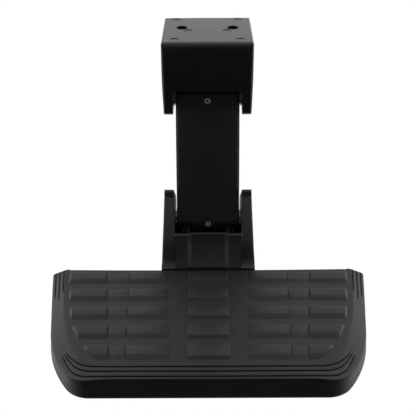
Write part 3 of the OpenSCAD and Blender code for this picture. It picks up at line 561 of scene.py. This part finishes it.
TREAD_ROWS, ROW_PITCH = 5, 30.5 * MM
FIRST_ROW_Y = PAD_BACK - 6.9 * MM
BLOCK_FLAT, BLOCK_RAMP, BLOCK_HEIGHT = 12.6 * MM, 7.2 * MM, 2.5 * MM


def tread_block(bm, side, left, right, rear, flat=BLOCK_FLAT, ramp=BLOCK_RAMP, height=BLOCK_HEIGHT,
                end=0.2 * MM):
    """One tread block with a ramp in front; left and right give its ends in x at any y."""
    ys = [rear, rear - flat / 2, rear - flat]
    top = [(right(y), y) for y in ys] + [(left(y), y) for y in ys[::-1]]
    low_ys = [rear + 0.5 * MM, rear - flat / 2, rear - flat - ramp]
    low = [(right(y) + end, y) for y in low_ys] + [(left(y) - 0.5 * MM, y) for y in low_ys[::-1]]
    if side < 0:
        top = [(-x, y) for x, y in top]
        low = [(-x, y) for x, y in low]
    add_block(bm, top, low, DECK_Z + height, DECK_Z - 0.3 * MM, 0.4 * MM)


def block_end(x_first, lean):
    """An end line of the blocks in x at any y, from x_first in mm beside the first row."""
    return lambda y: x_first * MM - (FIRST_ROW_Y - y) * lean


middle_end = block_end(23.6, 0.0074)
inner_ends = (block_end(51.5, 0.063), block_end(96.4, 0.0645))
low_ends = (block_end(96.9, 0.0645), block_end(123.8, 0.1397))
outer_start = block_end(125.4, 0.1397)


def outer_end(y):
    """Where the outer blocks end, short of the crease of the lip."""
    inside = 0.1
    crease = inside + reach_to(lip_crease, Vector((inside, y)), Vector((1, 0)))
    return crease - (9 + 5.5 * ease(0.225, 0.262, -y)) * MM


def build_tread(bm):
    """Five rows of blocks: a wide one in the middle and three on each side of it."""
    for row in range(TREAD_ROWS):
        rear = FIRST_ROW_Y - row * ROW_PITCH
        grow = 2.5 * MM if row else 0.0
        tread_block(bm, 1, lambda y: -middle_end(y), middle_end, rear + grow,
                    flat=BLOCK_FLAT + 2 * grow, ramp=4 * MM, end=0.7 * MM)
        for side in (1, -1):
            tread_block(bm, side, *inner_ends, rear)
            tread_block(bm, side, *low_ends, rear - 0.6 * MM, flat=12 * MM, height=1.6 * MM)
            tread_block(bm, side, outer_start, outer_end, rear, end=3 * MM)


def build_pad_underside(bm):
    """Ribs under the deck and the bosses that hold the threaded inserts."""
    rib_z = FLOOR_Z + 0.4 * MM
    roof = DECK_Z - 4 * MM
    rib_half = 2 * MM
    bore_r, flare_r, land_r, boss_r = 6.52 * MM, 7.0 * MM, 9.4 * MM, 10.0 * MM

    def rib(x0, x1, y0, y1):
        """One rib between two lines in x and two in y."""
        outline = [(x0, y0), (x1, y0), (x1, y1), (x0, y1)]
        add_block(bm, outline, outline, rib_z, roof, 0.5 * MM)

    for x in (-0.120, -0.072, 0.072, 0.120):
        rib(x - rib_half, x + rib_half, PAD_FRONT + 4 * MM, PAD_BACK - 4 * MM)
    for y, half in ((-0.1817, 0.166), (-0.2252, 0.1585), (-0.2687, 0.1465)):
        rib(-half, half, y - rib_half, y + rib_half)
    profile = [(bore_r, roof), (bore_r, FLOOR_Z + 0.5 * MM), (flare_r, FLOOR_Z + 0.02 * MM),
               (land_r, FLOOR_Z + 0.02 * MM), (boss_r, FLOOR_Z + 0.6 * MM), (boss_r, roof)]
    for x in (-0.030, 0.030):
        for y in (PAD_BACK - 0.030, PAD_BACK - 0.105):
            corners = [bm.verts.new((x + r, y, z)) for r, z in profile]
            edges = [bm.edges.new(pair) for pair in zip(corners, corners[1:] + corners[:1])]
            bmesh.ops.spin(bm, geom=corners + edges, cent=(x, y, 0), axis=(0, 0, 1), dvec=(0, 0, 0),
                           angle=2 * math.pi, steps=40, use_merge=True, use_duplicate=False)


def build_pad():
    """The whole pad in one mesh, its rear edge bowed back a little towards the corners."""
    rear_bow, bow_half = 1.6 * MM, 0.176
    mesh = bpy.data.meshes.new("tread_pad")
    bm = bmesh.new()
    build_pad_skin(bm)
    build_tread(bm)
    build_pad_underside(bm)
    for v in bm.verts:
        bend = rear_bow * clamp(abs(v.co.x) / bow_half) ** 2
        v.co.y += bend * (1 - ease(0.132, 0.165, -v.co.y))
    for f in bm.faces:
        f.smooth = True
    bm.to_mesh(mesh)
    bm.free()
    mesh.set_sharp_from_angle(angle=math.radians(38))
    return mesh


pad_coat = coated("pad_grain", (0.0125, 0.0125, 0.0130), 0.50, specular=0.38, peel=0.22, scale=1500.0)
pad_mesh = build_pad()
pad_mesh.materials.append(pad_coat)
pad = bpy.data.objects.new("tread_pad", pad_mesh)
bpy.context.scene.collection.objects.link(pad)
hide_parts("step_pad")
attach(pad, "step")


# Pins, tubes, washers and bolts
# Turned and pressed steel, zinc plated. The pins carry the arms and the bracket, the tubes and
# washers keep them apart, and the bolts hold the pad. Each keeps its solid and gets a finish.

def finish(mat, *nodes):
    """Give solids that are already right their finish."""
    for node in nodes:
        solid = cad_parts[node]
        solid.data.materials.clear()
        solid.data.materials.append(mat)


zinc = coated("zinc_plate", (0.62, 0.63, 0.65), 0.28, metallic=1.0, peel=0.04, cloud=0.2)
finish(zinc, "upper_front_pin", "lower_front_pin", "upper_rear_pin", "lower_rear_pin",
       "upper_rear_spacers", "upper_front_washers", "lower_front_washers", "stop_screw",
       "pad_bolts", "pad_washers")


# Set screws
# Two zinc plated screws with hexagon sockets, turned into the front of the main arm, where they
# lock its pins. Shade is painted into their sockets and threads as dark rings, lighter grey on
# the socket floor, and their rims keep the bright zinc.

SCREW_PLACES = ((0, -0.073), (0, -0.211))
TONE_RADIUS = 4 * MM

# Shares of the tone radius from the middle of a screw, and the painted shade tone that starts at each
SCREW_SHADE_TONES = (
    (0.0, 0.30), (0.16, 0.22), (0.28, 0.02), (0.46, 0.03), (0.54, 0.90), (0.80, 0.90), (0.88, 0.05),
)


def paint_screw_shade(mat):
    """Paint shade into the metal in rings round the axes of the two screws."""
    tree = mat.node_tree
    nodes, links = tree.nodes, tree.links
    place = nodes.new("ShaderNodeTexCoord")
    flat = nodes.new("ShaderNodeVectorMath")
    flat.operation = "MULTIPLY"
    flat.inputs[1].default_value = (1, 0, 1)
    links.new(place.outputs["Object"], flat.inputs[0])
    away = []
    for x, z in SCREW_PLACES:
        gap = nodes.new("ShaderNodeVectorMath")
        gap.operation = "DISTANCE"
        gap.inputs[1].default_value = (x, 0, z)
        links.new(flat.outputs[0], gap.inputs[0])
        away.append(gap.outputs["Value"])
    out = nodes.new("ShaderNodeMapRange")
    out.inputs["From Min"].default_value = 0.0
    out.inputs["From Max"].default_value = TONE_RADIUS
    links.new(math_node(tree, "MINIMUM", *away), out.inputs["Value"])
    tones = nodes.new("ShaderNodeValToRGB")
    ramp = tones.color_ramp
    for i, (share, tone) in enumerate(SCREW_SHADE_TONES):
        stop = ramp.elements[i] if i < 2 else ramp.elements.new(share)
        stop.position = share
        stop.color = (tone, tone, tone, 1)
    links.new(out.outputs["Result"], tones.inputs["Fac"])
    links.new(tones.outputs["Color"], nodes["Principled BSDF"].inputs["Base Color"])


screw_zinc = coated("bright_zinc", (0.86, 0.86, 0.87), 0.52, metallic=1.0, peel=0.03, cloud=0.1)
# Painted shade in the screws' sockets and threads; their rims stay bright zinc.
paint_screw_shade(screw_zinc)
finish(screw_zinc, "upper_set_screw", "lower_set_screw")


# Bushes
# Turned bronze, coloured dark as painted shade for the shaded gaps they sit in between the ears
# and the arms. Flanged ones are pressed into the ears of the housing and the bracket for the
# front pins, and plain ones into the idler arm for the rear pins.

# Bronze coloured darker than it is, as painted shade for the gaps the bushes sit in.
bronze = coated("bush_bronze", (0.27, 0.25, 0.23), 0.34, metallic=1.0, peel=0.04, cloud=0.3)
finish(bronze, "upper_front_bushes", "lower_front_bushes", "idler_upper_bushes", "idler_lower_bushes")


# Retaining rings and spring
# Hardened spring steel, dark with oil: rings on the ends of the rear pins, and the torsion
# spring round the upper one.

spring_steel = coated("oiled_steel", (0.16, 0.16, 0.17), 0.32, metallic=1.0, peel=0.05, cloud=0.3)
finish(spring_steel, "upper_rear_rings", "lower_rear_rings", "torsion_spring")


# Inserts
# Four turned brass sleeves with a thread inside. They are pressed into the bosses under the
# pad, and take the bolts that come up through the bracket.

brass = coated("turned_brass", (0.72, 0.52, 0.22), 0.30, metallic=1.0, peel=0.03, cloud=0.2)
finish(brass, "pad_inserts")


# Stop
# A buffer of moulded black rubber, fixed to the main arm by one screw. It meets the web of the
# idler arm at both ends of the swing.

rubber = coated("stop_rubber", (0.013, 0.013, 0.013), 0.72, specular=0.3, peel=0.3, scale=500.0)
finish(rubber, "stop_bumper")


# Ground and light
# A plain white floor in white surroundings, with a large soft lamp overhead, one behind at each
# side and a weak one in front. Three sheets that the camera doesn't see shape the reflections:
# a dark flag and a dark cloth in front, and a grey ceiling.

GROUND_Z = -0.55
CLOTH_Z = -0.54
CEILING_Z = 3
WHITE = (1, 1, 1, 1)
SHEET_BLACK = (0.01, 0.01, 0.01, 1)


def seen_straight(tree):
    """1 for what the camera, a reflection or glass shows, and 0 for light that falls on a thing."""
    ray = tree.nodes.new("ShaderNodeLightPath")
    seen = math_node(tree, "MAXIMUM", ray.outputs["Is Camera Ray"], ray.outputs["Is Glossy Ray"])
    return math_node(tree, "MAXIMUM", seen, ray.outputs["Is Transmission Ray"])


def white_ground():
    """Plain white where it is seen, and a pale matt surface for the light that falls on it."""
    mat = bpy.data.materials.new("ground_white")
    mat.use_nodes = True
    tree = mat.node_tree
    surface = tree.nodes["Principled BSDF"]
    surface.inputs["Base Color"].default_value = (0.85, 0.85, 0.85, 1)
    surface.inputs["Roughness"].default_value = 0.9
    white = tree.nodes.new("ShaderNodeEmission")
    white.inputs["Color"].default_value = WHITE
    white.inputs["Strength"].default_value = 1.0
    mix = tree.nodes.new("ShaderNodeMixShader")
    tree.links.new(seen_straight(tree), mix.inputs[0])
    tree.links.new(surface.outputs[0], mix.inputs[1])
    tree.links.new(white.outputs[0], mix.inputs[2])
    tree.links.new(mix.outputs[0], tree.nodes["Material Output"].inputs["Surface"])
    return mat


def white_room(strength):
    """A world that is plain white where it is seen and gives little light of its own."""
    world = bpy.data.worlds.new("studio")
    world.use_nodes = True
    tree = world.node_tree
    room = tree.nodes["Background"]
    room.inputs["Color"].default_value = WHITE
    room.inputs["Strength"].default_value = strength
    backdrop = tree.nodes.new("ShaderNodeBackground")
    backdrop.inputs["Color"].default_value = WHITE
    backdrop.inputs["Strength"].default_value = 1.0
    mix = tree.nodes.new("ShaderNodeMixShader")
    tree.links.new(seen_straight(tree), mix.inputs[0])
    tree.links.new(room.outputs[0], mix.inputs[1])
    tree.links.new(backdrop.outputs[0], mix.inputs[2])
    tree.links.new(mix.outputs[0], tree.nodes["World Output"].inputs["Surface"])
    return world


def sheet_finish(name):
    """A near black finish for a sheet, and its sockets."""
    mat = bpy.data.materials.new(name)
    mat.use_nodes = True
    sockets = mat.node_tree.nodes["Principled BSDF"].inputs
    sockets["Base Color"].default_value = SHEET_BLACK
    return mat, sockets


def stage_sheet(name, half, near, far, mat):
    """A flat sheet from x -half to half, between a near and a far edge given by their y and z."""
    mesh = bpy.data.meshes.new(name)
    bm = bmesh.new()
    corners = [(-half, *near), (half, *near), (half, *far), (-half, *far)]
    bm.faces.new([bm.verts.new(corner) for corner in corners])
    bm.to_mesh(mesh)
    bm.free()
    mesh.materials.append(mat)
    sheet = bpy.data.objects.new(name, mesh)
    bpy.context.scene.collection.objects.link(sheet)
    return sheet


def soft_box(name, place, aim, size, watts):
    """A rectangular soft lamp at a place, turned to what it lights."""
    lamp = bpy.data.lights.new(name, "AREA")
    lamp.shape = "RECTANGLE"
    lamp.size, lamp.size_y = size
    lamp.energy = watts
    holder = bpy.data.objects.new(name, lamp)
    bpy.context.scene.collection.objects.link(holder)
    holder.location = place
    holder.rotation_euler = (Vector(aim) - Vector(place)).to_track_quat("-Z", "Y").to_euler()
    return holder


stage_sheet("floor", 4, (-2.2, GROUND_Z), (4, GROUND_Z), white_ground())
bpy.context.scene.world = white_room(0.09)

matt_black, matt_sockets = sheet_finish("dark_cloth")
matt_sockets["Roughness"].default_value = 1.0
matt_sockets["Specular IOR Level"].default_value = 0.0
flag = stage_sheet("dark_flag", 1.4, (-2.4, -0.5), (-2.4, CEILING_Z), matt_black)
flag.visible_camera = False
flag.visible_diffuse = False
cloth = stage_sheet("front_cloth", 1.4, (-2.39, CLOTH_Z), (-0.37, CLOTH_Z), matt_black)
cloth.visible_camera = False

grey_glow, glow_sockets = sheet_finish("grey_ceiling")
glow_sockets["Emission Color"].default_value = WHITE
glow_sockets["Emission Strength"].default_value = 0.2
ceiling = stage_sheet("grey_ceiling", 3, (-2.4, CEILING_Z), (1.0, CEILING_Z), grey_glow)
ceiling.visible_camera = False
ceiling.visible_diffuse = False
ceiling.visible_shadow = False

overhead = soft_box("overhead", (0, 0.2, 1.6), (0, -0.15, -0.2), (1.8, 1.4), 30)
overhead.visible_glossy = False
front_fill = soft_box("front_fill", (0, -1.9, 0.9), (0, -0.1, -0.15), (1.6, 0.8), 2)
front_fill.visible_glossy = False
soft_box("left_side", (-1.6, 0.5, 0.45), (0, -0.1, -0.15), (0.9, 1.2), 9)
soft_box("right_side", (1.6, 0.5, 0.45), (0, -0.1, -0.15), (0.9, 1.2), 9)


# Camera
# In front of the step and above it, tilted down at the pad, as the photograph was taken. Its
# focal length is given in pixels of that photograph.

PHOTO_SIZE, FOCAL_PIXELS = 416, 650
SENSOR = 36
LOOK_DOWN, ROLL = math.radians(33.97), math.radians(-0.22)

camera_data = bpy.data.cameras.new("camera")
camera_data.sensor_width = SENSOR
camera_data.lens = SENSOR * FOCAL_PIXELS / PHOTO_SIZE
camera_data.clip_end = 50
camera = bpy.data.objects.new("camera", camera_data)
bpy.context.scene.collection.objects.link(camera)
camera.location = (0, -0.7545, 0.2517)
tilt = Matrix.Rotation(math.pi / 2 - LOOK_DOWN, 3, "X") @ Matrix.Rotation(ROLL, 3, "Z")
camera.rotation_euler = tilt.to_euler()
bpy.context.scene.camera = camera
bpy.context.scene.view_settings.view_transform = "Standard"
